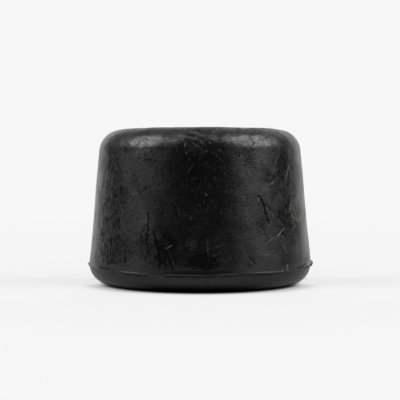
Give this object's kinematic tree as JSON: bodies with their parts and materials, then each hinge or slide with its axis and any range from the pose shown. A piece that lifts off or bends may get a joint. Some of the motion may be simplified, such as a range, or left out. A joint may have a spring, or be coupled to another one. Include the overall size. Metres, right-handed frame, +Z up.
{
  "type": "rubber foot",
  "caption": "Round tapered rubber foot with a rounded shoulder and base edge, and a blind socket in its narrow end that pushes onto a tubular leg.",
  "frame": {"origin": "centre of the flat underside, on the axis of the leg", "axes": "+Z up along the axis of the leg; X and Y are alike because the foot is round"},
  "size_m": [0.0406, 0.0404, 0.0275],
  "materials": {
    "rubber": "satin moulded rubber, scuffed and dusty"
  },
  "bodies": {
    "root": {"rubber_foot": "rubber"}
  },
  "joints": []
}
